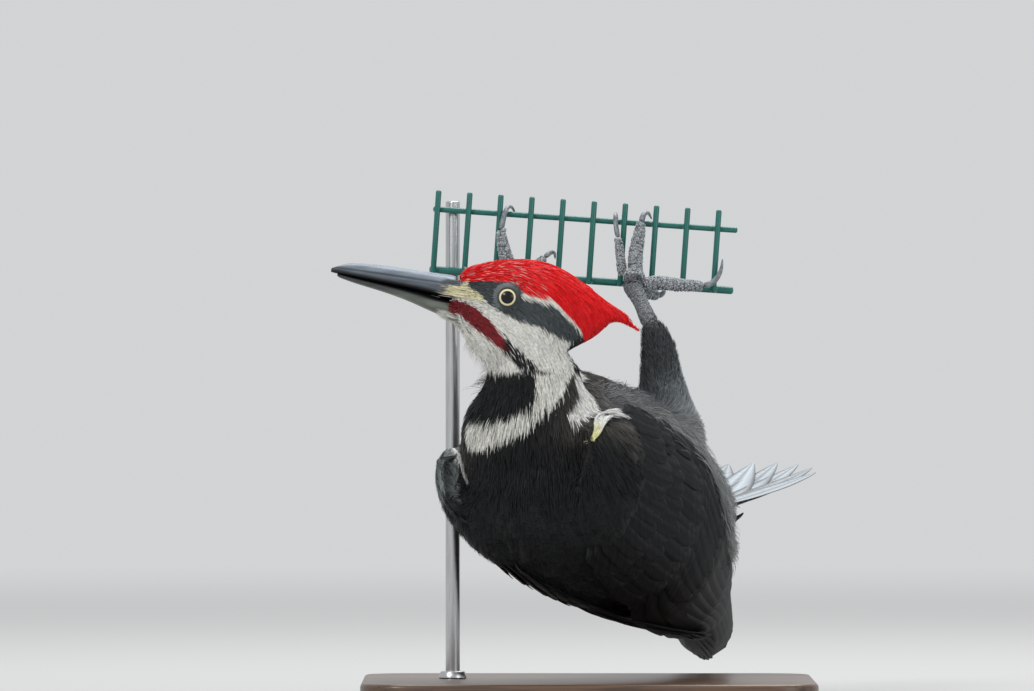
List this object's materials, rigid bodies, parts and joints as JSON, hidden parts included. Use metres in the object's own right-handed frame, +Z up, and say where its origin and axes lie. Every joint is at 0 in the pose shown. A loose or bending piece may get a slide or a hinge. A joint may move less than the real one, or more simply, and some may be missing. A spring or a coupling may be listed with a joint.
{
  "type": "pileated woodpecker",
  "caption": "Life-size still model of a male crested woodpecker hanging belly up by its feet from a strip of welded wire, head turned, on a rod and flat base.",
  "frame": {"origin": "centre of the underside of the stand's base, on the table", "axes": "+Z up; +Y away from the viewer, from the head towards the tail's tip; +X to the right, so the bill points to -X"},
  "size_m": [0.2063, 0.297, 0.2153],
  "materials": {
    "black_plumage": "matte, soft black feathers with a faint blue-green tone",
    "head_plumage": "matte, short black, white and slate-grey feathers in stripes",
    "red_plumage": "matte, silky scarlet feathers",
    "grey_plumage": "matte, downy slate-grey feathers",
    "eye": "wet gloss, black pupil in a pale yellow ring",
    "bill": "satin horn",
    "scaly_skin": "rough dry scales",
    "claw": "satin horn",
    "coated_wire": "glossy plastic-dipped steel wire",
    "stand_base": "satin dark-stained hardwood",
    "stand_rod": "brushed"
  },
  "bodies": {
    "root": {"trunk": "black_plumage", "wing_left": "black_plumage", "wing_right": "black_plumage", "tail": "black_plumage", "neck": "black_plumage", "head": "head_plumage", "crest": "red_plumage", "thigh_left": "grey_plumage", "thigh_right": "grey_plumage", "eye_left": "eye", "eye_right": "eye", "bill_upper": "bill", "bill_lower": "bill", "tarsus_left": "scaly_skin", "toe_left_1": "scaly_skin", "claw_left_1": "claw", "toe_left_2": "scaly_skin", "claw_left_2": "claw", "toe_left_3": "scaly_skin", "claw_left_3": "claw", "toe_left_4": "scaly_skin", "claw_left_4": "claw", "tarsus_right": "scaly_skin", "toe_right_1": "scaly_skin", "claw_right_1": "claw", "toe_right_2": "scaly_skin", "claw_right_2": "claw", "toe_right_3": "scaly_skin", "claw_right_3": "claw", "toe_right_4": "scaly_skin", "claw_right_4": "claw", "perch_wire_low": "coated_wire", "perch_wire_high": "coated_wire", "perch_upright_1": "coated_wire", "perch_upright_2": "coated_wire", "perch_upright_3": "coated_wire", "perch_upright_4": "coated_wire", "perch_upright_5": "coated_wire", "perch_upright_6": "coated_wire", "perch_upright_7": "coated_wire", "perch_upright_8": "coated_wire", "perch_upright_9": "coated_wire", "perch_upright_10": "coated_wire", "stand_base": "stand_base", "stand_rod": "stand_rod"}
  },
  "joints": []
}
